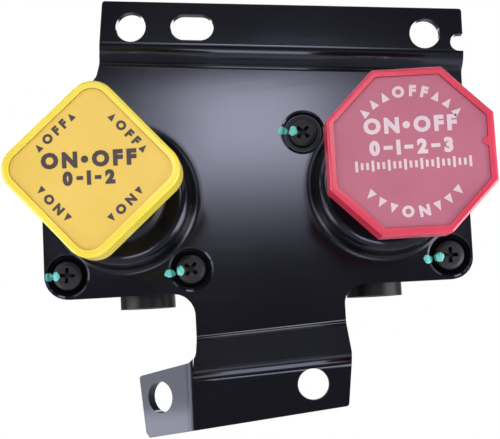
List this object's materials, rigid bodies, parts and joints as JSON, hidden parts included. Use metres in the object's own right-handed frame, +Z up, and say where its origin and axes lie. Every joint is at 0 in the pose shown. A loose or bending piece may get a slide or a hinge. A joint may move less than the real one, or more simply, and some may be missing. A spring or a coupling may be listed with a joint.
{
  "type": "dash control valve",
  "caption": "Push-pull air valve with a yellow diamond knob and a red octagon knob on a folded black cover plate with mounting flanges.",
  "frame": {"origin": "midway between the two plunger axes, on the cover plate's flat front face", "axes": "+X to the right as the driver sees it, +Y into the dash along the plungers' push, +Z up"},
  "size_m": [0.1355, 0.118, 0.1367],
  "materials": {
    "cover_paint": "satin black paint",
    "gasket": "plain",
    "black_screw": "black zinc",
    "housing": "moulded",
    "guide": "moulded",
    "seal": "plain",
    "yellow_knob": "gloss moulded",
    "yellow_label": "printed plate",
    "red_knob": "gloss moulded",
    "red_label": "printed plate",
    "brass": "turned",
    "stem": "ground",
    "spool": "moulded",
    "bright_steel": "zinc plated",
    "shuttle": "moulded"
  },
  "bodies": {
    "housing": {"cover_plate": "cover_paint", "cover_gasket": "gasket", "cover_screws": "black_screw", "valve_body": "housing", "check_seat": "brass", "check_cap": "guide", "check_cap_seal": "seal", "check_retainer": "bright_steel", "retainer_screw": "bright_steel", "park_guide": "guide", "park_guide_seal": "seal", "park_wiper": "seal", "supply_guide": "guide", "supply_guide_seal": "seal", "supply_wiper": "seal", "park_delivery_insert": "brass", "trailer_delivery_insert": "brass", "primary_supply_insert": "brass", "secondary_supply_insert": "brass"},
    "park_plunger": {"park_knob": "yellow_knob", "park_label": "yellow_label", "park_knob_insert": "brass", "park_stem": "stem", "park_spool": "spool", "park_spool_seals": "seal", "park_stem_nut": "bright_steel", "park_spring": "bright_steel"},
    "supply_plunger": {"supply_knob": "red_knob", "supply_label": "red_label", "supply_knob_insert": "brass", "supply_stem": "stem", "supply_spool": "spool", "supply_spool_seals": "seal", "supply_stem_nut": "bright_steel", "supply_spring": "bright_steel"},
    "shuttle": {"check_shuttle": "shuttle"}
  },
  "joints": [
    {"name": "park_push", "type": "slide", "parent": "housing", "child": "park_plunger", "axis": [0, 1, 0], "range_m": [0, 0.0125], "stiffness_N_per_m": 1500, "springref_m": -0.008, "deforming": ["park_spring"]},
    {"name": "supply_push", "type": "slide", "parent": "housing", "child": "supply_plunger", "axis": [0, 1, 0], "range_m": [0, 0.0125], "stiffness_N_per_m": 1500, "springref_m": -0.008, "deforming": ["supply_spring"]},
    {"name": "shuttle_slide", "type": "slide", "parent": "housing", "child": "shuttle", "axis": [0, 0, 1], "range_m": [-0.0025, 0.0025]}
  ]
}
